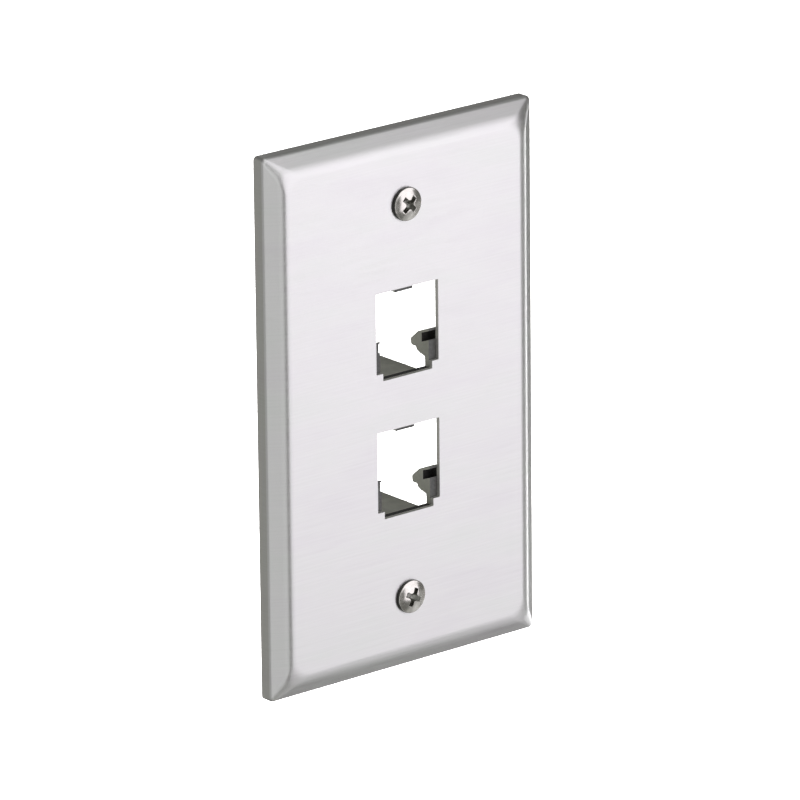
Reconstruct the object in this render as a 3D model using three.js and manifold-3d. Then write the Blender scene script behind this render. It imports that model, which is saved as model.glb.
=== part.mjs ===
// Single-gang stainless steel faceplate with two snap-in module ports, their rear brackets and
// the two captive screws that fix it to a wall box. Millimetres. The wall is the plane Y = 0,
// the plate faces -Y, +X is to its right and +Z is up. The origin is the plate's centre.
import * as THREE from "three";
import { ConvexGeometry } from "three/addons/geometries/ConvexGeometry.js";
import { mergeVertices } from "three/addons/utils/BufferGeometryUtils.js";
import Module from "manifold-3d";

// Pressed faceplate
const PLATE_WIDTH = 69.85;
const PLATE_HEIGHT = 114.3;
const SHEET = 1.0;
const RIM_DEPTH = 2.8; // straight wall that stands on the wall surface
const BEVEL_DEPTH = 2.4;
const BEVEL_WIDTH = 3.7;
const RIM_CORNER = 1.2;
const FACE_CORNER = 3.6;
const FRONT = -(RIM_DEPTH + BEVEL_DEPTH);
const SHEET_BACK = FRONT + SHEET;

// Module ports: a rectangle with a shallower notch under it
const PORT_WIDTH = 16.2;
const PORT_HEIGHT = 16.94;
const NOTCH_WIDTH = 12.76;
const NOTCH_HEIGHT = 1.58;
const PORT_PITCH = 29.36;
const PORTS_RISE = 0.2; // the pair sits this far above the plate's centre

// Rear bracket behind each port, measured from the port's ledge upwards and from FRONT backwards
const FIT_GAP = 0.3;
const FRAME_THICKNESS = 1.0;
const FRAME_MARGIN = 3.8; // above and below the opening
const FRAME_SIDE_MARGIN = 4.4; // beyond each side of the port
const FRAME_SIDE_RELIEF = 1.2;
const FRAME_TOP_RELIEF = 0.6;
const CHEEK_INNER = 6.35;
const CHEEK_OUTER = 10.3;
const SLOT_OUTER = 8.9;
const SLOT_BACK = 3.2;
const SLOT_HEIGHT = 1.65;
const SLOT_FLOOR = 4.2;
const CHEEK_SLOPE = 0.377; // fall of the cheek's top edge for each millimetre of depth
const CATCH_WIDTH = 4.7;
const CATCH_DROP = 0.9;
const FLOOR_DROP = 2.7;
const FLOOR_THICKNESS = 1.0;
const FLOOR_BACK = 18.0;

// Mounting screws, number 6-32
const SCREW_SPACING = 83.34;
const SCREW_HOLE = 4.2;
const HEAD_RADIUS = 3.5;
const HEAD_SIDE = 0.6;
const HEAD_DOME = 0.7;
const SHANK_RADIUS = 1.75;
const SCREW_LENGTH = 25.4;
const TIP_CHAMFER = 0.6;
const RECESS_SPAN = 3.9;
const RECESS_BLADE = 0.8;
const RECESS_DEPTH = 1.0;
const UPPER_RECESS_TURN = THREE.MathUtils.degToRad(45);
const LOWER_RECESS_TURN = THREE.MathUtils.degToRad(-26);
const RETAINER_RADIUS = 3.9;
const RETAINER_THICKNESS = 1.0;
const RETAINER_SETBACK = 9.5; // clear way between the sheet's back and the retainer

const ROUND_SIDES = 32;
const CORNER_STEPS = 5;
const OVERCUT = 1;

const wasm = await Module();
wasm.setup();

// A closed three.js geometry as a solid that can be joined and cut.
function solid(geometry) {
  const bare = geometry.clone();
  bare.deleteAttribute("normal");
  bare.deleteAttribute("uv");
  const merged = mergeVertices(bare, 1e-4);
  const mesh = new wasm.Mesh({
    numProp: 3,
    vertProperties: merged.attributes.position.array,
    triVerts: new Uint32Array(merged.index.array),
  });
  return new wasm.Manifold(mesh);
}

// A solid as a named mesh with its own material.
function part(name, body, finish) {
  const { vertProperties, triVerts } = body.getMesh();
  const geometry = new THREE.BufferGeometry();
  geometry.setAttribute("position", new THREE.BufferAttribute(vertProperties, 3));
  geometry.setIndex(new THREE.BufferAttribute(triVerts, 1));
  geometry.computeVertexNormals();
  const mesh = new THREE.Mesh(geometry, new THREE.MeshStandardMaterial(finish));
  mesh.name = name;
  return mesh;
}

// An outline drawn in X and Z, as a solid from yBack forward to yFront.
function slab(outline, yBack, yFront) {
  const shape = outline instanceof THREE.Shape ? outline : new THREE.Shape(outline);
  const depth = yBack - yFront;
  const geometry = new THREE.ExtrudeGeometry(shape, { depth, bevelEnabled: false, curveSegments: 8 });
  geometry.rotateX(Math.PI / 2);
  geometry.translate(0, yBack, 0);
  return solid(geometry);
}

function block(xMin, xMax, yMin, yMax, zMin, zMax) {
  const geometry = new THREE.BoxGeometry(xMax - xMin, yMax - yMin, zMax - zMin);
  geometry.translate((xMin + xMax) / 2, (yMin + yMax) / 2, (zMin + zMax) / 2);
  return solid(geometry);
}

// A cylinder about the Y direction through (0, z).
function post(radius, z, yMin, yMax) {
  const geometry = new THREE.CylinderGeometry(radius, radius, yMax - yMin, ROUND_SIDES);
  geometry.translate(0, (yMin + yMax) / 2, z);
  return solid(geometry);
}

// Points of the plate's outline, drawn in by an inset, at one depth.
function plateRing(inset, radius, y) {
  const x = PLATE_WIDTH / 2 - inset - radius;
  const z = PLATE_HEIGHT / 2 - inset - radius;
  const centres = [[x, z], [-x, z], [-x, -z], [x, -z]];
  return centres.flatMap(([cx, cz], corner) =>
    Array.from({ length: CORNER_STEPS + 1 }, (_, step) => {
      const angle = (corner + step / CORNER_STEPS) * (Math.PI / 2);
      return new THREE.Vector3(cx + radius * Math.cos(angle), y, cz + radius * Math.sin(angle));
    }),
  );
}

// The opening that a module snaps into, with its ledge at the given height. Side and top reliefs
// widen it above the ledge, and the notch keeps its size.
function portOutline(ledge, side = 0, top = 0) {
  const half = PORT_WIDTH / 2 + side;
  const notch = NOTCH_WIDTH / 2;
  return [
    new THREE.Vector2(-half, ledge),
    new THREE.Vector2(-notch, ledge),
    new THREE.Vector2(-notch, ledge - NOTCH_HEIGHT),
    new THREE.Vector2(notch, ledge - NOTCH_HEIGHT),
    new THREE.Vector2(notch, ledge),
    new THREE.Vector2(half, ledge),
    new THREE.Vector2(half, ledge + PORT_HEIGHT + top),
    new THREE.Vector2(-half, ledge + PORT_HEIGHT + top),
  ];
}

function faceplate(ledges, screwHeights) {
  const bevelAngle = Math.atan2(BEVEL_DEPTH, BEVEL_WIDTH);
  const innerRim = RIM_DEPTH - SHEET * Math.tan((Math.PI / 2 - bevelAngle) / 2);
  const innerBevel = BEVEL_WIDTH + SHEET * Math.tan(bevelAngle / 2);
  const outside = new ConvexGeometry([
    ...plateRing(0, RIM_CORNER, 0),
    ...plateRing(0, RIM_CORNER, -RIM_DEPTH),
    ...plateRing(BEVEL_WIDTH, FACE_CORNER, FRONT),
  ]);
  const hollow = new ConvexGeometry([
    ...plateRing(SHEET, RIM_CORNER - SHEET, OVERCUT),
    ...plateRing(SHEET, RIM_CORNER - SHEET, -innerRim),
    ...plateRing(innerBevel, FACE_CORNER, SHEET_BACK),
  ]);
  let body = solid(outside).subtract(solid(hollow));
  for (const ledge of ledges) {
    body = body.subtract(slab(portOutline(ledge), SHEET_BACK + OVERCUT, FRONT - OVERCUT));
  }
  for (const z of screwHeights) {
    body = body.subtract(post(SCREW_HOLE / 2, z, FRONT - OVERCUT, SHEET_BACK + OVERCUT));
  }
  return body;
}

// Side view of a cheek, as depth behind the plate's front against height above the ledge.
function cheekOutline() {
  const front = SHEET + FIT_GAP;
  const shape = new THREE.Shape();
  shape.moveTo(front, 0);
  shape.lineTo(front + FRAME_THICKNESS, 0);
  shape.lineTo(front + FRAME_THICKNESS, 0.7);
  shape.lineTo(4.5, 1.25);
  shape.lineTo(5.4, 2.0);
  shape.quadraticCurveTo(6.7, 2.4, 6.4, 3.2);
  shape.lineTo(4.4, 6.5 - CHEEK_SLOPE * (4.4 - front));
  shape.lineTo(front, 6.5);
  return shape;
}

// The slanted slot in the cheek's front edge, which the module's side rail runs into.
function slotOutline() {
  const front = SHEET + FIT_GAP - OVERCUT;
  const fall = CHEEK_SLOPE * (SLOT_BACK - front);
  const floor = SLOT_FLOOR + CHEEK_SLOPE * OVERCUT;
  return new THREE.Shape([
    new THREE.Vector2(front, floor),
    new THREE.Vector2(SLOT_BACK, floor - fall),
    new THREE.Vector2(SLOT_BACK, floor - fall + SLOT_HEIGHT),
    new THREE.Vector2(front, floor + SLOT_HEIGHT),
  ]);
}

// A side view swept along X, from xMin to xMax, above one port's ledge.
function sideProfile(shape, xMin, xMax, ledge) {
  const geometry = new THREE.ExtrudeGeometry(shape, { depth: xMax - xMin, bevelEnabled: false });
  geometry.applyMatrix4(
    new THREE.Matrix4().set(0, 0, 1, xMin, 1, 0, 0, FRONT, 0, 1, 0, ledge, 0, 0, 0, 1),
  );
  return solid(geometry);
}

function portBracket(ledge) {
  const front = SHEET_BACK + FIT_GAP;
  const back = front + FRAME_THICKNESS;
  const outerX = PORT_WIDTH / 2 + FRAME_SIDE_MARGIN;
  const bottom = ledge - NOTCH_HEIGHT - FRAME_MARGIN;
  const top = ledge + PORT_HEIGHT + FRAME_MARGIN;
  const opening = portOutline(ledge, FRAME_SIDE_RELIEF, FRAME_TOP_RELIEF);
  let body = block(-outerX, outerX, front, back, bottom, top);
  body = body.subtract(slab(opening, back + OVERCUT, front - OVERCUT));
  for (const [xMin, xMax] of [[CHEEK_INNER, CHEEK_OUTER], [-CHEEK_OUTER, -CHEEK_INNER]]) {
    body = body.add(sideProfile(cheekOutline(), xMin, xMax, ledge));
  }
  for (const [xMin, xMax] of [[CHEEK_INNER - OVERCUT, SLOT_OUTER], [-SLOT_OUTER, OVERCUT - CHEEK_INNER]]) {
    body = body.subtract(sideProfile(slotOutline(), xMin, xMax, ledge));
  }
  const portTop = ledge + PORT_HEIGHT;
  const catchBar = block(-CATCH_WIDTH / 2, CATCH_WIDTH / 2, front, back, portTop - CATCH_DROP, portTop + 1);
  const floorTop = ledge - FLOOR_DROP;
  const floor = block(-CHEEK_INNER, CHEEK_INNER, front, FRONT + FLOOR_BACK, floorTop - FLOOR_THICKNESS, floorTop);
  return body.add(catchBar).add(floor);
}

// A pan-head screw along +Y from the head's underside, with a cross recess turned about its axis.
function screw(z, recessTurn) {
  const seat = FRONT - FIT_GAP;
  const crown = seat - HEAD_SIDE - HEAD_DOME;
  const profile = new THREE.Path();
  profile.moveTo(0, seat + SCREW_LENGTH);
  profile.lineTo(SHANK_RADIUS - TIP_CHAMFER, seat + SCREW_LENGTH);
  profile.lineTo(SHANK_RADIUS, seat + SCREW_LENGTH - TIP_CHAMFER);
  profile.lineTo(SHANK_RADIUS, seat);
  profile.lineTo(HEAD_RADIUS, seat);
  profile.lineTo(HEAD_RADIUS, seat - HEAD_SIDE);
  profile.quadraticCurveTo(HEAD_RADIUS * 0.9, crown, 0, crown);
  const geometry = new THREE.LatheGeometry(profile.getPoints(6).reverse(), ROUND_SIDES);
  let body = solid(geometry);
  for (const quarter of [0, 1]) {
    const blade = new THREE.BoxGeometry(RECESS_SPAN, 2 * RECESS_DEPTH, RECESS_BLADE);
    blade.rotateY(recessTurn + (quarter * Math.PI) / 2);
    blade.translate(0, crown, 0);
    body = body.subtract(solid(blade));
  }
  return body.translate(0, 0, z);
}

// The split washer of fibre that grips the thread behind the sheet and keeps the screw captive.
function retainer(z) {
  const front = SHEET_BACK + RETAINER_SETBACK;
  const back = front + RETAINER_THICKNESS;
  const ring = post(RETAINER_RADIUS, z, front, back);
  return ring.subtract(post(SHANK_RADIUS + FIT_GAP, z, front - OVERCUT, back + OVERCUT));
}

const brushedSteel = { color: 0xd9d7da, roughness: 0.35, metalness: 1.0 };
const bracketMetal = { color: 0x6e6e68, roughness: 0.5, metalness: 0.6 };
const nickel = { color: 0xb9b4ab, roughness: 0.25, metalness: 1.0 };
const fibre = { color: 0x9c4a35, roughness: 0.8, metalness: 0.0 };

const ledgeBelowCentre = (PORT_HEIGHT - NOTCH_HEIGHT) / 2;
const upperLedge = PORTS_RISE + PORT_PITCH / 2 - ledgeBelowCentre;
const lowerLedge = PORTS_RISE - PORT_PITCH / 2 - ledgeBelowCentre;
const upperScrew = SCREW_SPACING / 2;
const lowerScrew = -SCREW_SPACING / 2;

const assembly = new THREE.Group();
assembly.add(part("faceplate", faceplate([upperLedge, lowerLedge], [upperScrew, lowerScrew]), brushedSteel));
assembly.add(part("upper_port_bracket", portBracket(upperLedge), bracketMetal));
assembly.add(part("lower_port_bracket", portBracket(lowerLedge), bracketMetal));
assembly.add(part("upper_mounting_screw", screw(upperScrew, UPPER_RECESS_TURN), nickel));
assembly.add(part("lower_mounting_screw", screw(lowerScrew, LOWER_RECESS_TURN), nickel));
assembly.add(part("upper_screw_retainer", retainer(upperScrew), fibre));
assembly.add(part("lower_screw_retainer", retainer(lowerScrew), fibre));

export default assembly;
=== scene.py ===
# The finished look of the wall plate: a brushed stainless steel pressing with two module ports,
# the cast brackets behind them, and the two captive screws. Outlines are drawn in millimetres
# and become metres where each mesh is made. The wall is Y = 0 and the plate faces -Y.
import math

import bmesh
import bpy
from mathutils import Matrix, Vector


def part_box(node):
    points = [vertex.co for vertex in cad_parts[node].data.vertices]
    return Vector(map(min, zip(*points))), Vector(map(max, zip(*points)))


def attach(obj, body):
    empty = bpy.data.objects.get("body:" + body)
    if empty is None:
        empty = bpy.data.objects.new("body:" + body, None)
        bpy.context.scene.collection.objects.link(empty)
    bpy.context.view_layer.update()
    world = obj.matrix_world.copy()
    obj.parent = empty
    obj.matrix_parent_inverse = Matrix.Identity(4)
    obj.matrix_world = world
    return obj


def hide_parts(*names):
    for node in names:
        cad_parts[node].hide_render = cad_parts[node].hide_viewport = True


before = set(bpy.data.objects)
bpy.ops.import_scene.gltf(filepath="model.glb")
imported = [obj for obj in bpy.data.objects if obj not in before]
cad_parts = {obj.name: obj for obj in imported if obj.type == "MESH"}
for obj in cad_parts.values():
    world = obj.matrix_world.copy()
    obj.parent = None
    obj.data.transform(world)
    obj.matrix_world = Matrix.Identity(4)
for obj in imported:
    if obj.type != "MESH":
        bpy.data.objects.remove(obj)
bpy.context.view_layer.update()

MM = 0.001

# The plate's CAD box, in millimetres, and the thickness of its sheet
plate_low, plate_high = (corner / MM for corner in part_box("faceplate"))
HALF_WIDTH = plate_high.x
HALF_HEIGHT = plate_high.z
FRONT = plate_low.y
SHEET = 1.0
SHEET_BACK = FRONT + SHEET

# Pressing
RIM_DEPTH = 2.8
BEVEL_WIDTH = 3.7
RIM_CORNER = 0.9
FACE_CORNER = 3.6
LEAST_INNER_CORNER = 0.8
RIM_BEND = 1.05
FACE_BEND = 5.2
BEND_STEPS = 10
CORNER_STEPS = 12
SIDE_STEPS = 24

# Ports, measured from each port's ledge
PORT_HALF_WIDTH = 8.1
PORT_HEIGHT = 16.94
NOTCH_HALF_WIDTH = 6.38
NOTCH_HEIGHT = 1.58
FRAME_MARGIN = 3.8

# Brackets. A cheek's points are (depth behind the plate's front, height above the ledge).
SEAM = 0.03
FRAME_THICKNESS = 1.25
FRAME_HALF_WIDTH = 12.45
FRAME_OPENING_HALF_WIDTH = 9.3
FRAME_TOP_RELIEF = 0.6
CHEEK_INNER = 6.35
CHEEK_OUTER = 10.25
CHEEK_HEIGHT = 6.5
CHEEK_SLOPE = 0.377
CHEEK_HEEL = [(2.3, 0.0), (2.3, 0.45), (4.0, 0.9), (4.85, 1.3), (5.15, 1.95)]
CHEEK_CHIN = (6.55, 1.95)
CHEEK_BROW = (6.8, 3.3)
CHEEK_TOP_DEPTH = 4.4
CHEEK_TOP_FALL = 1.1687
CHIN_RADIUS = 0.45
BROW_RADIUS = 0.8
NOSE_STEPS = 5
SLOT_OUTER = 8.9
LEFT_SLOT_OUTER = 6.7
SLOT_BACK = 3.2
SLOT_HEIGHT = 1.9
SLOT_FLOOR = 4.05
SLOT_REACH = 0.7
CATCH_HALF_WIDTH = 2.35
CATCH_DROP = 0.9
SHELF_DROP = 2.7
SHELF_THICKNESS = 1.0
SHELF_BACK = 17.9

# How nearly a face of a bracket must lie on the sheet, and face straight out, to take the painted
# shade
SHADE_TOLERANCE = 0.05
ALIGNED = 0.95

# Screws and retainers
SCREW_HOLE_RADIUS = 2.1
HEAD_RADIUS = 3.5
HEAD_SIDE = 0.6
HEAD_DOME = 0.7
HEAD_EDGE = 0.25
HEAD_EDGE_BREAK = 0.3
HEAD_SHOULDER = 0.2
DOME_STEPS = 12
SHOULDER_STEPS = 4
THREAD_MAJOR = 1.74
THREAD_MINOR = 1.26
THREAD_PITCH = 25.4 / 32
THREAD_ROOT_FLAT = 0.12
THREAD_CREST_FLAT = 0.12
THREAD_SIDES = 48
THREAD_STEPS_PER_TURN = 8
PLAIN_NECK = 0.15
NECK_FILLET = 0.25
THREAD_RUN_OUT = 0.5
TIP_TAPER_LENGTH = 0.7
TIP_TAPER = 0.35
RETAINER_RADIUS = 3.85
RETAINER_BORE = 1.8

# Screw recesses. A level is (depth below the crown, scale of the cross there).
UPPER_RECESS_TURN = math.radians(45)
LOWER_RECESS_TURN = math.radians(-26)
RECESS_SPAN = 2.25
RECESS_BLADE = 0.55
RECESS_WEB = 0.95
BLADE_TAPER = 0.4
RECESS_LEVELS = [(-0.4, 1.0), (0.0, 0.94), (1.224, 0.62), (1.7, 0.3)]

# Gap that keeps a piece just inside its CAD node, overshoot of a cutting tool, edge roundings
CLEARANCE = 0.02
RETAINER_CLEARANCE = 0.05
CUT_OVERSHOOT = 1
PLATE_EDGE = 0.09
BRACKET_EDGE = 0.18
SCREW_EDGE = 0.06
RETAINER_EDGE = 0.2

# The photograph's viewpoint and lens
VIEW_YAW = math.radians(39.48)
VIEW_PITCH = math.radians(17.94)
VIEW_ROLL = math.radians(-0.63)
VIEW_DISTANCE = 1.65
LENS = 366.6
SHIFT_X = 0.0103
SHIFT_Y = -0.0059

# Floor, in metres
FLOOR_LEVEL = -1.0
FLOOR_REACH = 60.0
FLOOR_LIGHT_PLACE = (1.4, 1.7, 2.2)
FLOOR_LIGHT_SIZE = 3.0
FLOOR_LIGHT_POWER = 420


# ---------------------------------------------------------------- camera, light and floor

def make_camera():
    """A camera in front of the plate, to its left and above it, aimed at its centre."""
    ahead = Vector((
        math.sin(VIEW_YAW) * math.cos(VIEW_PITCH),
        math.cos(VIEW_YAW) * math.cos(VIEW_PITCH),
        -math.sin(VIEW_PITCH),
    ))
    right = Vector((math.cos(VIEW_YAW), -math.sin(VIEW_YAW), 0))
    up = right.cross(ahead)
    turn = Matrix((right, up, -ahead)).transposed().to_4x4() @ Matrix.Rotation(VIEW_ROLL, 4, "Z")
    data = bpy.data.cameras.new("camera")
    data.lens = LENS
    data.shift_x = SHIFT_X
    data.shift_y = SHIFT_Y
    data.clip_end = 100
    camera = bpy.data.objects.new("camera", data)
    camera.matrix_world = Matrix.Translation(ahead * -VIEW_DISTANCE) @ turn
    bpy.context.collection.objects.link(camera)
    bpy.context.scene.camera = camera


def area_light(name, place, target, width, height, power, colour=(1, 1, 1)):
    """A soft rectangular light, upright, facing the target."""
    data = bpy.data.lights.new(name, "AREA")
    data.shape = "RECTANGLE"
    data.size = width
    data.size_y = height
    data.energy = power
    data.color = colour
    light = bpy.data.objects.new(name, data)
    light.location = place
    light.rotation_euler = (Vector(target) - Vector(place)).to_track_quat("-Z", "Y").to_euler()
    bpy.context.collection.objects.link(light)
    return light


def radiance_power(radiance, width, height):
    """The power that gives a light this radiance, so that it looks as bright at any size."""
    return radiance * width * height * math.pi


def soft_box(name, turn, tilt, distance, width, height, radiance, colour=(1, 1, 1)):
    """A soft light facing the plate, turned to the right of its front and raised, in degrees."""
    turn, tilt = math.radians(turn), math.radians(tilt)
    level = math.cos(tilt)
    place = Vector((math.sin(turn) * level, -math.cos(turn) * level, math.sin(tilt)))
    power = radiance_power(radiance, width, height)
    light = area_light(name, place * distance, (0, 0, 0), width, height, power, colour)
    light.visible_camera = False
    return light


def make_studio():
    """A dim world and the soft boxes that the steel reflects."""
    world = bpy.data.worlds.new("studio")
    world.use_nodes = True
    background = world.node_tree.nodes["Background"]
    background.inputs["Color"].default_value = (1.0, 1.0, 0.94, 1)
    background.inputs["Strength"].default_value = 0.15
    bpy.context.scene.world = world
    soft_box("key", turn=31, tilt=1, distance=0.6, width=0.46, height=0.61,
             radiance=1.18, colour=(1.0, 0.965, 1.01))
    soft_box("lower_key", turn=52, tilt=-38, distance=0.9, width=0.5, height=0.3,
             radiance=0.25)
    soft_box("overhead", turn=22, tilt=58, distance=1.2, width=1.1, height=1.2,
             radiance=0.46)
    soft_box("upper_left", turn=2, tilt=30, distance=1.2, width=0.5, height=0.4,
             radiance=1.1)
    soft_box("fill", turn=-32, tilt=-8, distance=1.6, width=1.78, height=2.2,
             radiance=0.51)
    soft_box("side_fill", turn=-85, tilt=-8, distance=1.6, width=1.49, height=2.2,
             radiance=0.24)
    soft_box("back_left", turn=-140, tilt=-8, distance=1.6, width=1.85, height=2.2,
             radiance=0.13, colour=(1.0, 1.0, 0.9))
    soft_box("back", turn=174, tilt=-10, distance=1.6, width=1.0, height=1.8,
             radiance=0.4)
    soft_box("right_fill", turn=66, tilt=-32, distance=1.2, width=0.5, height=0.8,
             radiance=0.2)
    soft_box("strip", turn=91, tilt=-25, distance=1.2, width=0.2, height=0.7,
             radiance=3.0)
    soft_box("bounce", turn=18, tilt=-62, distance=1.2, width=0.8, height=0.6,
             radiance=0.35, colour=(1.0, 1.0, 0.94))
    soft_box("low", turn=75, tilt=-52, distance=1.4, width=0.8, height=0.7,
             radiance=0.07)
    bpy.context.scene.view_settings.view_transform = "Standard"


def make_floor(material):
    """A wide pale floor well below the plate, with a light of its own."""
    corners = rectangle(-FLOOR_REACH, FLOOR_REACH, -FLOOR_REACH, FLOOR_REACH)

    def build(shape):
        shape.faces.new([shape.verts.new(Vector((x, y, FLOOR_LEVEL)) / MM) for x, y in corners])

    floor = mesh_object("floor", build, [material])
    floor.visible_glossy = False
    floor.visible_diffuse = False
    lit = bpy.data.collections.new("lit_floor")
    lit.objects.link(floor)
    x, y, height = FLOOR_LIGHT_PLACE
    light = area_light("floor_light", (x, y, height), (x, y, FLOOR_LEVEL),
                       FLOOR_LIGHT_SIZE, FLOOR_LIGHT_SIZE, FLOOR_LIGHT_POWER)
    light.light_linking.receiver_collection = lit


# ---------------------------------------------------------------- materials

class Nodes:
    """A material's node tree with short calls for the nodes it is built from."""

    def __init__(self, name):
        self.material = bpy.data.materials.new(name)
        self.material.use_nodes = True
        self.tree = self.material.node_tree
        self.shader = self.tree.nodes["Principled BSDF"]

    def add(self, kind, **settings):
        node = self.tree.nodes.new(kind)
        for key, value in settings.items():
            setattr(node, key, value)
        return node

    def link(self, output, target):
        self.tree.links.new(output, target)

    def value(self, name, value):
        self.shader.inputs[name].default_value = value

    def object_coordinates(self, scale=(1, 1, 1)):
        mapping = self.add("ShaderNodeMapping")
        mapping.inputs["Scale"].default_value = scale
        self.link(self.add("ShaderNodeTexCoord").outputs["Object"], mapping.inputs["Vector"])
        return mapping.outputs["Vector"]

    def blank_coordinates(self, scale):
        """Millimetres on the flat blank, before it was pressed, times a scale."""
        mapping = self.add("ShaderNodeMapping")
        mapping.inputs["Scale"].default_value = scale
        blank = self.add("ShaderNodeUVMap", uv_map="blank")
        self.link(blank.outputs["UV"], mapping.inputs["Vector"])
        return mapping.outputs["Vector"]

    def noise(self, vector, scale, detail=4, roughness=0.6):
        node = self.add("ShaderNodeTexNoise")
        node.inputs["Scale"].default_value = scale
        node.inputs["Detail"].default_value = detail
        node.inputs["Roughness"].default_value = roughness
        self.link(vector, node.inputs["Vector"])
        return node.outputs["Fac"]

    def remap(self, source, low, high, from_low=0.3, from_high=0.7):
        node = self.add("ShaderNodeMapRange")
        node.inputs["From Min"].default_value = from_low
        node.inputs["From Max"].default_value = from_high
        node.inputs["To Min"].default_value = low
        node.inputs["To Max"].default_value = high
        self.link(source, node.inputs["Value"])
        return node.outputs["Result"]

    def ramp(self, source, stops):
        node = self.add("ShaderNodeValToRGB")
        elements = node.color_ramp.elements
        while len(elements) < len(stops):
            elements.new(0.5)
        for element, (position, colour) in zip(elements, stops):
            element.position = position
            element.color = (*colour, 1)
        self.link(source, node.inputs["Fac"])
        return node.outputs["Color"]

    def bump(self, height, strength, distance, below=None):
        node = self.add("ShaderNodeBump")
        node.inputs["Strength"].default_value = strength
        node.inputs["Distance"].default_value = distance
        self.link(height, node.inputs["Height"])
        if below:
            self.link(below, node.inputs["Normal"])
        return node.outputs["Normal"]

    def colour(self, source, dark, light, low=0.3, high=0.7):
        """Base colour from dark to light as the source goes from low to high."""
        tint = self.ramp(source, [(low, dark), (high, light)])
        self.link(tint, self.shader.inputs["Base Color"])

    def roughness(self, source, low, high):
        self.link(self.remap(source, low, high), self.shader.inputs["Roughness"])

    def relief(self, source, strength, distance, below=None):
        bump = self.bump(source, strength, distance, below)
        self.link(bump, self.shader.inputs["Normal"])


def brushed_steel():
    """Stainless steel brushed across the plate's width, so its grain follows the flat blank."""
    m = Nodes("brushed_stainless")
    m.value("Metallic", 1.0)
    m.value("Anisotropic", 0.8)
    m.value("Anisotropic Rotation", 0.25)
    tangent = m.add("ShaderNodeTangent", direction_type="UV_MAP", uv_map="blank")
    m.link(tangent.outputs["Tangent"], m.shader.inputs["Tangent"])
    long_grain = m.noise(m.blank_coordinates((0.05, 2.6, 1)), scale=1.0, detail=6, roughness=0.7)
    fine_grain = m.noise(m.blank_coordinates((0.3, 11.0, 1)), scale=1.0, detail=4, roughness=0.6)
    tone = m.noise(m.blank_coordinates((0.03, 0.12, 1)), scale=1.0, detail=3, roughness=0.55)
    lilac, neutral, green = (0.83, 0.82, 0.84), (0.85, 0.85, 0.855), (0.83, 0.845, 0.835)
    tint = m.ramp(tone, [(0.3, lilac), (0.5, neutral), (0.7, green)])
    grain_tone = m.remap(long_grain, low=0.95, high=1.03)
    shade = m.add("ShaderNodeMix", data_type="RGBA", blend_type="MULTIPLY")
    shade.inputs["Factor"].default_value = 1.0
    m.link(tint, shade.inputs["A"])
    m.link(grain_tone, shade.inputs["B"])
    m.link(shade.outputs["Result"], m.shader.inputs["Base Color"])
    m.roughness(long_grain, low=0.3, high=0.42)
    long_bump = m.bump(long_grain, strength=0.015, distance=0.0001)
    m.relief(fine_grain, strength=0.03, distance=0.00005, below=long_bump)
    return m.material


def sheared_edge():
    """The cut wall of a punched opening: a burnished band and a rough break, dull grey."""
    m = Nodes("sheared_edge")
    m.value("Metallic", 1.0)
    grit = m.noise(m.object_coordinates((4000, 900, 4000)), scale=1.0, detail=5, roughness=0.7)
    m.colour(grit, dark=(0.78, 0.78, 0.76), light=(0.92, 0.92, 0.90))
    m.roughness(grit, low=0.4, high=0.6)
    m.relief(grit, strength=0.3, distance=0.00004)
    return m.material


def cast_zinc():
    """Dull grey cast metal with a fine sand texture and soft lighter and darker patches."""
    m = Nodes("bracket_metal")
    m.value("Metallic", 0.75)
    grit = m.noise(m.object_coordinates(), scale=2600, detail=5, roughness=0.65)
    patch = m.noise(m.object_coordinates(), scale=260, detail=3, roughness=0.5)
    m.colour(patch, dark=(0.60, 0.61, 0.56), light=(0.78, 0.79, 0.73))
    m.roughness(grit, low=0.42, high=0.62)
    m.relief(grit, strength=0.35, distance=0.00005)
    return m.material


def painted_shade_material(name, dark, light):
    """Painted shade on the bracket: dark grey where the sheet shades it, nearly black in its
    hollows.
    """
    m = Nodes(name)
    grit = m.noise(m.object_coordinates(), scale=1900, detail=4, roughness=0.6)
    m.colour(grit, dark=(dark, dark, dark), light=(light, light, light))
    m.roughness(grit, low=0.55, high=0.75)
    m.relief(grit, strength=0.3, distance=0.00004)
    return m.material


def nickel_plate():
    """Bright nickel over cold-headed steel, with faint turning marks and soft stains."""
    m = Nodes("screw_nickel")
    m.value("Metallic", 1.0)
    stain = m.noise(m.object_coordinates(), scale=700, detail=4, roughness=0.6)
    fine = m.noise(m.object_coordinates((1, 0.2, 1)), scale=5200, detail=3, roughness=0.5)
    m.colour(stain, dark=(0.70, 0.68, 0.64), light=(0.84, 0.82, 0.79))
    m.roughness(fine, low=0.13, high=0.24)
    m.relief(fine, strength=0.03, distance=0.00003)
    return m.material


def shaded_nickel(name, dark, light):
    """Nickel darkened as painted shade: nearly black on the side of the screw's head, grey in its
    recess.
    """
    m = Nodes(name)
    m.value("Metallic", 1.0)
    stain = m.noise(m.object_coordinates((1, 2, 1)), scale=900, detail=4, roughness=0.6)
    warm = 0.93
    m.colour(stain, dark=(dark, dark, warm * dark), light=(light, light, warm * light))
    m.roughness(stain, low=0.3, high=0.45)
    m.relief(stain, strength=0.1, distance=0.00003)
    return m.material


def vulcanised_fibre():
    """Red-brown pressed fibre with a matted surface."""
    m = Nodes("retainer_fibre")
    mat = m.noise(m.object_coordinates((1, 3, 1)), scale=1800, detail=6, roughness=0.7)
    m.colour(mat, dark=(0.26, 0.07, 0.04), light=(0.42, 0.14, 0.09))
    m.roughness(mat, low=0.65, high=0.85)
    m.relief(mat, strength=0.5, distance=0.00008)
    return m.material


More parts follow.
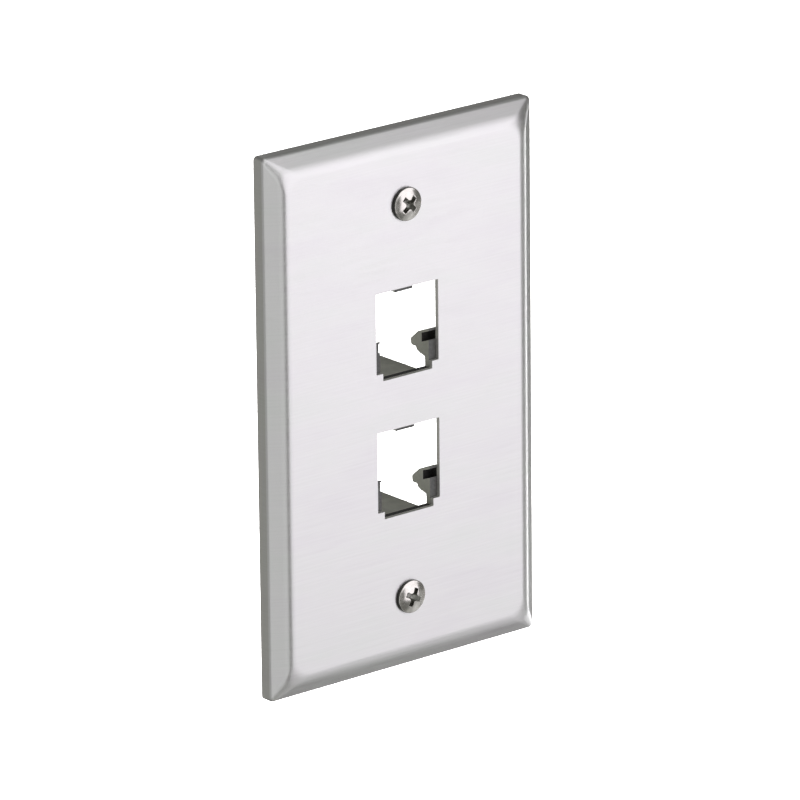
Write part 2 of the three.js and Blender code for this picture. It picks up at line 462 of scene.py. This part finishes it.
def pale_floor():
    """A pale matt floor that glows a little, so that it stays pale far from its light."""
    m = Nodes("pale_floor")
    m.value("Emission Color", (1.0, 1.0, 0.99, 1))
    m.value("Emission Strength", 0.6)
    m.value("Roughness", 0.9)
    patch = m.noise(m.object_coordinates(), scale=1.5, detail=2, roughness=0.5)
    m.colour(patch, dark=(0.78, 0.78, 0.77), light=(0.8, 0.8, 0.79), low=0.2, high=0.8)
    return m.material


# ---------------------------------------------------------------- mesh helpers

def mesh_object(name, build, materials=()):
    """An object whose mesh build() makes in millimetres."""
    shape = bmesh.new()
    build(shape)
    bmesh.ops.recalc_face_normals(shape, faces=shape.faces)
    bmesh.ops.scale(shape, vec=(MM, MM, MM), verts=shape.verts)
    mesh = bpy.data.meshes.new(name)
    shape.to_mesh(mesh)
    shape.free()
    for material in materials:
        mesh.materials.append(material)
    made = bpy.data.objects.new(name, mesh)
    bpy.context.collection.objects.link(made)
    return made


def bridge(shape, rings, closed_ends=True):
    """Quads between rings of equal length, with a face across each end."""
    loops = [[shape.verts.new(point) for point in ring] for ring in rings]
    for here, there in zip(loops, loops[1:]):
        for i in range(len(here)):
            k = (i + 1) % len(here)
            shape.faces.new((here[i], here[k], there[k], there[i]))
    if closed_ends:
        shape.faces.new(loops[0])
        shape.faces.new(loops[-1])
    return loops


def prism(name, outline, place, low, high, materials=()):
    """An outline swept from low to high, where place(u, v, w) gives the point in space."""
    def build(shape):
        bridge(shape, [[place(u, v, w) for u, v in outline] for w in (low, high)])
    return mesh_object(name, build, materials)


def along_y(u, v, w):
    return Vector((u, w, v))


def along_x(u, v, w):
    return Vector((w, u, v))


def freeze(made):
    """The object's mesh with its modifiers applied."""
    graph = bpy.context.evaluated_depsgraph_get()
    old = made.data
    made.data = bpy.data.meshes.new_from_object(made.evaluated_get(graph), depsgraph=graph)
    made.modifiers.clear()
    bpy.data.meshes.remove(old)
    return made


def combine(made, others, operation):
    """The object joined with or cut by each of the others, which are used up."""
    for other in others:
        step = made.modifiers.new("combine", "BOOLEAN")
        step.operation = operation
        step.object = other
        step.solver = "EXACT"
        step.material_mode = "TRANSFER"
        freeze(made)
        mesh = other.data
        bpy.data.objects.remove(other)
        bpy.data.meshes.remove(mesh)
    return made


def soften(made, width, segments=3, angle=35):
    """Rounds edges sharper than the angle by a width in millimetres, and shades them smoothly."""
    step = made.modifiers.new("edges", "BEVEL")
    step.width = width * MM
    step.segments = segments
    step.limit_method = "ANGLE"
    step.angle_limit = math.radians(angle)
    step.miter_outer = "MITER_ARC"
    step.use_clamp_overlap = True
    freeze(made)
    made.data.shade_smooth()
    step = made.modifiers.new("shading", "WEIGHTED_NORMAL")
    step.keep_sharp = True
    step.weight = 100
    freeze(made)
    return made


def hand_over(made, body, slot, *nodes):
    """Puts the piece on its body in place of its CAD node."""
    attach(made, body)
    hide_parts(*nodes)


# ---------------------------------------------------------------- the pressed plate

def fillet(before, corner, after, radius, steps):
    """Points of the arc that rounds the corner between two straight runs of a section."""
    before, corner, after = Vector(before), Vector(corner), Vector(after)
    back = (before - corner).normalized()
    on = (after - corner).normalized()
    half = back.angle(on) / 2
    centre = corner + (back + on).normalized() * (radius / math.sin(half))
    start = corner + back * (radius / math.tan(half)) - centre
    sweep = start.angle_signed(corner + on * (radius / math.tan(half)) - centre)
    turns = [Matrix.Rotation(-sweep * k / steps, 2) for k in range(steps + 1)]
    return [centre + turn @ start for turn in turns]


def plate_section():
    """(inset, height above the wall) from the sheet's back face, round the rim, to its front."""
    depth = -FRONT
    bevel_angle = math.atan2(depth - RIM_DEPTH, BEVEL_WIDTH)
    inner_rim = RIM_DEPTH - SHEET * math.tan((math.pi / 2 - bevel_angle) / 2)
    inner_face = BEVEL_WIDTH + SHEET * math.tan(bevel_angle / 2)
    flat = 2 * BEVEL_WIDTH
    outer = [(0, 0), *fillet((0, 0), (0, RIM_DEPTH), (BEVEL_WIDTH, depth), RIM_BEND, BEND_STEPS)]
    outer += fillet((0, RIM_DEPTH), (BEVEL_WIDTH, depth), (flat, depth), FACE_BEND, BEND_STEPS)
    low, bend, face = (SHEET, 0), (SHEET, inner_rim), (inner_face, depth - SHEET)
    inner = [low, *fillet(low, bend, face, RIM_BEND - SHEET, BEND_STEPS)]
    inner += fillet(bend, face, (flat, depth - SHEET), FACE_BEND - SHEET, BEND_STEPS)
    return [Vector(p) for p in inner][::-1], [Vector(p) for p in outer]


def plate_ring(inset, radius):
    """(corner centre x, z, angle) for each point of a rounded rectangle at an inset."""
    x = HALF_WIDTH - inset - radius
    z = HALF_HEIGHT - inset - radius
    centres = [(x, z), (-x, z), (-x, -z), (x, -z)]
    for corner, (here_x, here_z) in enumerate(centres):
        next_x, next_z = centres[(corner + 1) % 4]
        for step in range(CORNER_STEPS + 1):
            yield here_x, here_z, (corner + step / CORNER_STEPS) * math.pi / 2
        for step in range(1, SIDE_STEPS):
            part = step / SIDE_STEPS
            turn = (corner + 1) * math.pi / 2
            yield here_x + (next_x - here_x) * part, here_z + (next_z - here_z) * part, turn


def corner_radius(inset):
    return RIM_CORNER + (FACE_CORNER - RIM_CORNER) * min(inset / BEVEL_WIDTH, 1)


def distances(points):
    """How far each point lies along the section from its last point."""
    total = [0.0]
    for one, other in zip(points[::-1], points[-2::-1]):
        total.append(total[-1] + (one - other).length)
    return total[::-1]


def build_pressing(shape):
    """The pan with no openings, and each point's place on the flat blank as UV in millimetres."""
    inner, outer = plate_section()
    spread = distances(inner[::-1])[::-1] + distances(outer)
    rings = []
    blank = {}
    for k, (point, out) in enumerate(zip(inner + outer, spread)):
        radius = corner_radius(point.x)
        if k < len(inner):
            radius = max(radius - SHEET, LEAST_INNER_CORNER)
        flat_inset = (inner[0] if k < len(inner) else outer[-1]).x
        ring = []
        developed = []
        reach = radius + out + point.x - flat_inset
        for cx, cz, angle in plate_ring(point.x, radius):
            c, s = math.cos(angle), math.sin(angle)
            ring.append(Vector((cx + radius * c, -point.y, cz + radius * s)))
            developed.append((cx + reach * c, cz + reach * s))
        rings.append(ring)
        blank[k] = developed
    loops = bridge(shape, rings)
    place = {vert: blank[k][i] for k, loop in enumerate(loops) for i, vert in enumerate(loop)}
    layer = shape.loops.layers.uv.new("blank")
    for face in shape.faces:
        for corner in face.loops:
            corner[layer].uv = place[corner.vert]


def port_outline(ledge, half_width=PORT_HALF_WIDTH, top_relief=0.0):
    """A port with the narrower notch under its ledge, as (X, Z)."""
    top = ledge + PORT_HEIGHT + top_relief
    low = ledge - NOTCH_HEIGHT
    right = [(NOTCH_HALF_WIDTH, low), (NOTCH_HALF_WIDTH, ledge)]
    right += [(half_width, ledge), (half_width, top)]
    return right + [(-x, z) for x, z in right[::-1]]


def circle(radius, height, sides=64):
    angles = [2 * math.pi * k / sides for k in range(sides)]
    return [(radius * math.cos(a), height + radius * math.sin(a)) for a in angles]


def make_plate(ledges, screw_heights, steel, edge):
    """The pressed plate with its two ports and its two screw holes."""
    plate = mesh_object("steel_plate", build_pressing, [steel, edge])
    outlines = [port_outline(ledge) for ledge in ledges]
    outlines += [circle(SCREW_HOLE_RADIUS, height) for height in screw_heights]
    low, high = FRONT - CUT_OVERSHOOT, SHEET_BACK + CUT_OVERSHOOT
    cutters = [prism("cut", outline, along_y, low, high, [edge]) for outline in outlines]
    combine(plate, cutters, "DIFFERENCE")
    soften(plate, PLATE_EDGE)
    hand_over(plate, "plate", "brushed_stainless", "faceplate")


# ---------------------------------------------------------------- brackets

def cheek_outline(ledge):
    """Side view of a cheek as (Y, Z): a sloping top, a blunt nose and a stepped underside."""
    front = SEAM + SHEET
    heel = [(front, 0.0), *CHEEK_HEEL]
    top = (CHEEK_TOP_DEPTH, CHEEK_HEIGHT - CHEEK_TOP_FALL)
    points = heel + fillet(heel[-1], CHEEK_CHIN, CHEEK_BROW, CHIN_RADIUS, NOSE_STEPS)
    points += fillet(CHEEK_CHIN, CHEEK_BROW, top, BROW_RADIUS, NOSE_STEPS)
    points += [top, (front, CHEEK_HEIGHT)]
    return [(FRONT + depth, ledge + height) for depth, height in points]


def slot_outline(ledge):
    """The slanted slot in the cheek's front edge as (Y, Z)."""
    front = SHEET_BACK - SLOT_REACH
    fall = CHEEK_SLOPE * (FRONT + SLOT_BACK - front)
    floor = SLOT_FLOOR + CHEEK_SLOPE
    low = [(front, floor), (FRONT + SLOT_BACK, floor - fall)]
    return [(y, ledge + z) for y, z in low + [(y, z + SLOT_HEIGHT) for y, z in low[::-1]]]


def rectangle(low_u, high_u, low_v, high_v):
    return [(low_u, low_v), (high_u, low_v), (high_u, high_v), (low_u, high_v)]


def paint_bracket_shade(bracket):
    """Paints shade on the faces against the sheet, and darker painted shade on the opening's
    upward lip.
    """
    front = (SHEET_BACK + SEAM) * MM
    back = front + FRAME_THICKNESS * MM
    for face in bracket.data.polygons:
        faces_sheet = face.normal.y < -ALIGNED
        in_notch = abs(face.center.x) < NOTCH_HALF_WIDTH * MM
        # Painted shade: the front faces that the sheet shades take the dark grey material.
        if faces_sheet and abs(face.center.y - front) < SHADE_TOLERANCE * MM:
            face.material_index = 1
        # Painted shade: the notch's upward lip, in the shadow of the sheet, takes the near-black
        # material.
        elif face.normal.z > ALIGNED and front < face.center.y < back and in_notch:
            face.material_index = 2


def make_bracket(name, node, ledge, metal, seat_painted_shade, hollow_painted_shade):
    """The frame behind a port with its two slotted cheeks, its catch and its shelf."""
    front = SHEET_BACK + SEAM
    back = front + FRAME_THICKNESS
    bottom = ledge - NOTCH_HEIGHT - FRAME_MARGIN
    top = ledge + PORT_HEIGHT + FRAME_MARGIN
    outline = rectangle(-FRAME_HALF_WIDTH, FRAME_HALF_WIDTH, bottom, top)
    bracket = prism(name, outline, along_y, front, back, [metal, seat_painted_shade, hollow_painted_shade])
    opening = port_outline(ledge, FRAME_OPENING_HALF_WIDTH, FRAME_TOP_RELIEF)
    low, high = front - CUT_OVERSHOOT, back + CUT_OVERSHOOT
    combine(bracket, [prism("opening", opening, along_y, low, high)], "DIFFERENCE")
    parts = []
    for low, high in ((CHEEK_INNER, CHEEK_OUTER), (-CHEEK_OUTER, -CHEEK_INNER)):
        parts.append(prism("cheek", cheek_outline(ledge), along_x, low, high))
    port_top = ledge + PORT_HEIGHT
    catch_low, catch_high = port_top - CATCH_DROP, port_top + CUT_OVERSHOOT
    catch = rectangle(-CATCH_HALF_WIDTH, CATCH_HALF_WIDTH, catch_low, catch_high)
    parts.append(prism("catch", catch, along_y, front, back))
    shelf_top = ledge - SHELF_DROP
    shelf = rectangle(front, FRONT + SHELF_BACK, shelf_top - SHELF_THICKNESS, shelf_top)
    parts.append(prism("shelf", shelf, along_x, -CHEEK_INNER, CHEEK_INNER))
    combine(bracket, parts, "UNION")
    slots = []
    inner = CHEEK_INNER - CUT_OVERSHOOT
    # The slot walls take the near-black painted shade.
    for low, high in ((inner, SLOT_OUTER), (-LEFT_SLOT_OUTER, -inner)):
        slots.append(prism("slot", slot_outline(ledge), along_x, low, high, [hollow_painted_shade]))
    combine(bracket, slots, "DIFFERENCE")
    soften(bracket, BRACKET_EDGE)
    paint_bracket_shade(bracket)
    hand_over(bracket, "plate", "bracket_metal", node)


# ---------------------------------------------------------------- screws and retainers

def thread_radius(turn, along, start, end):
    """Radius of a right-hand 60-degree thread that fades in under the head and at the tip."""
    phase = (along / THREAD_PITCH - turn) % 1.0
    crest = 1 - abs(2 * phase - 1)
    height = (crest - THREAD_ROOT_FLAT) / (1 - THREAD_ROOT_FLAT - THREAD_CREST_FLAT)
    fade = clamp((along - start) / THREAD_PITCH) * clamp((end - along) / THREAD_PITCH)
    return THREAD_MINOR + (THREAD_MAJOR - THREAD_MINOR) * clamp(height) * fade


def clamp(value):
    return min(max(value, 0), 1)


def head_profile(seat):
    """(radius, Y) from the dome's crown, round the head's edge, to the thread under it."""
    crown = seat - HEAD_SIDE - HEAD_DOME
    shoulder = HEAD_RADIUS - HEAD_SHOULDER
    dome_radius = (HEAD_RADIUS ** 2 + HEAD_DOME ** 2) / (2 * HEAD_DOME)
    profile = []
    for k in range(1, DOME_STEPS + 1):
        radius = shoulder * k / DOME_STEPS
        fall = dome_radius - math.sqrt(dome_radius ** 2 - radius ** 2)
        profile.append((radius, crown + fall))
    dome_edge = profile[-1][1]
    for k in range(1, SHOULDER_STEPS + 1):
        angle = k / SHOULDER_STEPS * math.pi / 2
        radius = shoulder + HEAD_SHOULDER * math.sin(angle)
        profile.append((radius, dome_edge + HEAD_SHOULDER * (1 - math.cos(angle))))
    break_back = HEAD_EDGE * HEAD_EDGE_BREAK
    profile.append((HEAD_RADIUS, seat - HEAD_EDGE))
    profile.append((HEAD_RADIUS - break_back, seat - break_back))
    profile.append((HEAD_RADIUS - HEAD_EDGE, seat))
    profile.append((THREAD_MINOR + NECK_FILLET, seat))
    return profile


def screw_rings(seat, tip, height):
    """Rings of points from the crown of the head to the tip of the threaded shank."""
    rings = [[point] * THREAD_SIDES for point in head_profile(seat)]
    start = seat + THREAD_RUN_OUT
    end = tip - THREAD_RUN_OUT
    neck = seat + PLAIN_NECK
    count = THREAD_STEPS_PER_TURN * round((tip - seat) / THREAD_PITCH)
    turns = [side / THREAD_SIDES for side in range(THREAD_SIDES)]
    for k in range(count + 1):
        along = neck + (tip - neck) * k / count
        narrowing = TIP_TAPER * (1 - clamp((tip - along) / TIP_TAPER_LENGTH))
        radii = [thread_radius(turn, along, start, end) - narrowing for turn in turns]
        rings.append([(radius, along) for radius in radii])
    angles = [2 * math.pi * turn for turn in turns]
    return [
        [
            Vector((radius * math.sin(angle), y, height + radius * math.cos(angle)))
            for (radius, y), angle in zip(ring, angles)
        ]
        for ring in rings
    ]


def recess_outline(span, blade, web):
    """A cross with flared roots: half-span, half blade width and half web width."""
    quarter = [(blade, span), (blade, web), (web, blade), (span, blade)]
    points = []
    for k in range(4):
        c, s = round(math.cos(k * math.pi / 2)), round(math.sin(k * math.pi / 2))
        points += [(u * c + v * s, v * c - u * s) for u, v in quarter]
    return points


def recess_cutter(crown, height, turn, material):
    """A Phillips recess: four tapered wings that narrow towards a blunt point."""
    def build(shape):
        rings = []
        for depth, scale in RECESS_LEVELS:
            blade = RECESS_BLADE * (1 - BLADE_TAPER * (1 - scale))
            outline = recess_outline(RECESS_SPAN * scale, blade, RECESS_WEB * scale)
            rings.append([
                Vector((
                    u * math.cos(turn) - v * math.sin(turn),
                    crown + depth,
                    height + u * math.sin(turn) + v * math.cos(turn),
                ))
                for u, v in outline
            ])
        bridge(shape, rings)
    return mesh_object("recess", build, [material])


def make_screw(name, node, body, turn, metal, head_side_shade, recess):
    """A screw with a domed head, where the CAD node is, with its recess turned by an angle."""
    low, high = (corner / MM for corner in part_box(node))
    height = (low.z + high.z) / 2
    seat = FRONT - CLEARANCE
    tip = high.y - CLEARANCE
    crown = seat - HEAD_SIDE - HEAD_DOME
    side_low, side_high = seat - HEAD_SIDE - CLEARANCE, seat + PLAIN_NECK

    def build(shape):
        bridge(shape, screw_rings(seat, tip, height))
        for face in shape.faces:
            # The side and underside of the head take the near-black painted shade.
            if side_low < face.calc_center_median().y < side_high:
                face.material_index = 1

    made = mesh_object(name, build, [metal, head_side_shade, recess])
    # The recess walls take the grey painted shade.
    combine(made, [recess_cutter(crown, height, turn, recess)], "DIFFERENCE")
    soften(made, SCREW_EDGE, segments=2, angle=40)
    hand_over(made, body, "screw_nickel", node)


def make_retainer(name, node, body, fibre):
    """The fibre washer that grips the thread, where the CAD node is."""
    low, high = (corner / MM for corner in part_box(node))
    height = (low.z + high.z) / 2
    near, far = low.y + RETAINER_CLEARANCE, high.y - RETAINER_CLEARANCE
    disc = prism(name, circle(RETAINER_RADIUS, height), along_y, near, far, [fibre])
    outline = circle(RETAINER_BORE, height)
    bore = prism("bore", outline, along_y, low.y - CUT_OVERSHOOT, high.y + CUT_OVERSHOOT)
    combine(disc, [bore], "DIFFERENCE")
    soften(disc, RETAINER_EDGE)
    hand_over(disc, body, "retainer_fibre", node)


# ---------------------------------------------------------------- assembly

def ledge_of(node):
    """The height of a port's ledge, from the lowest point of the bracket behind it."""
    low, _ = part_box(node)
    return low.z / MM + FRAME_MARGIN + NOTCH_HEIGHT


def centre_height(node):
    low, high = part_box(node)
    return (low.z + high.z) / 2 / MM


make_camera()
make_studio()
make_floor(pale_floor())

steel = brushed_steel()
edge = sheared_edge()
zinc = cast_zinc()
# Painted shade: dark grey on the bracket faces that the sheet shades.
seat_painted_shade = painted_shade_material("seat_painted_shade", dark=0.11, light=0.19)
# Painted shade: near black in the slots and on the notch's lip.
hollow_painted_shade = painted_shade_material("hollow_painted_shade", dark=0.02, light=0.05)
nickel = nickel_plate()
# Painted shade: near black on the side of each screw's head.
head_side_shade = shaded_nickel("head_side_painted_shade", dark=0.05, light=0.12)
# Painted shade: grey in each screw's recess.
recess = shaded_nickel("recess_painted_shade", dark=0.25, light=0.5)
fibre = vulcanised_fibre()

upper_ledge = ledge_of("upper_port_bracket")
lower_ledge = ledge_of("lower_port_bracket")
screws = ("upper_mounting_screw", "lower_mounting_screw")
screw_heights = [centre_height(screw) for screw in screws]

make_plate([upper_ledge, lower_ledge], screw_heights, steel, edge)
make_bracket("upper_bracket", "upper_port_bracket", upper_ledge, zinc, seat_painted_shade, hollow_painted_shade)
make_bracket("lower_bracket", "lower_port_bracket", lower_ledge, zinc, seat_painted_shade, hollow_painted_shade)
nickel_and_painted_shades = nickel, head_side_shade, recess
make_screw("upper_screw_fine", "upper_mounting_screw", "upper_screw", UPPER_RECESS_TURN, *nickel_and_painted_shades)
make_screw("lower_screw_fine", "lower_mounting_screw", "lower_screw", LOWER_RECESS_TURN, *nickel_and_painted_shades)
make_retainer("upper_retainer_washer", "upper_screw_retainer", "upper_retainer", fibre)
make_retainer("lower_retainer_washer", "lower_screw_retainer", "lower_retainer", fibre)
